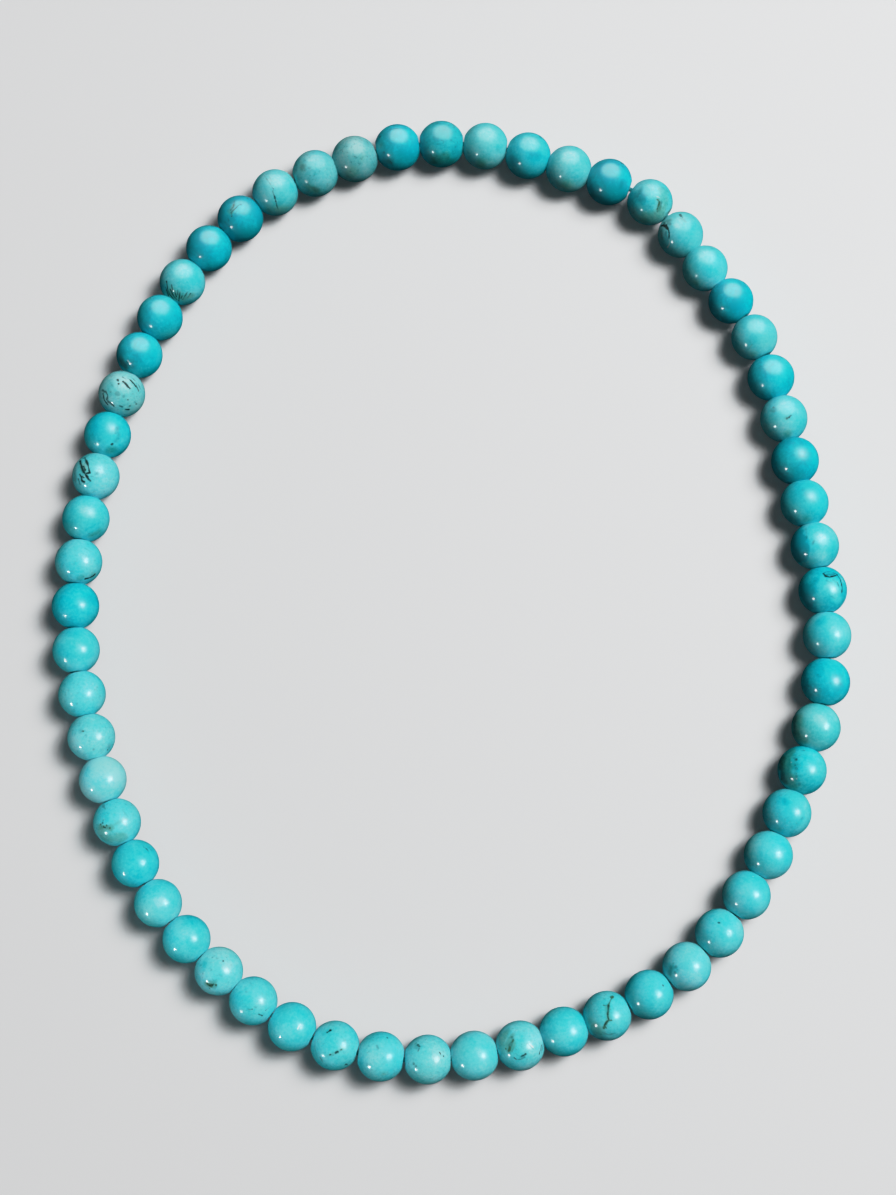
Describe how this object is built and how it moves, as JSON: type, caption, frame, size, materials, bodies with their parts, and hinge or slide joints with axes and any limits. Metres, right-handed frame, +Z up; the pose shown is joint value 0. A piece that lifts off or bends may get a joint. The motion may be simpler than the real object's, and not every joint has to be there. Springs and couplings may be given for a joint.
{
  "type": "beaded necklace",
  "caption": "Necklace of round turquoise beads strung end to end on an endless cord, laid flat in an open oval loop.",
  "frame": {"origin": "on the surface that the beads rest on, under the middle of the loop's outline", "axes": "+Z up from the surface, +Y along the loop's long way, towards its far end"},
  "size_m": [0.1352, 0.1648, 0.0082],
  "materials": {
    "turquoise": "polished and waxed, opaque",
    "cord": "twisted thread"
  },
  "bodies": {
    "root": {"bead_string": "turquoise"}
  },
  "joints": []
}
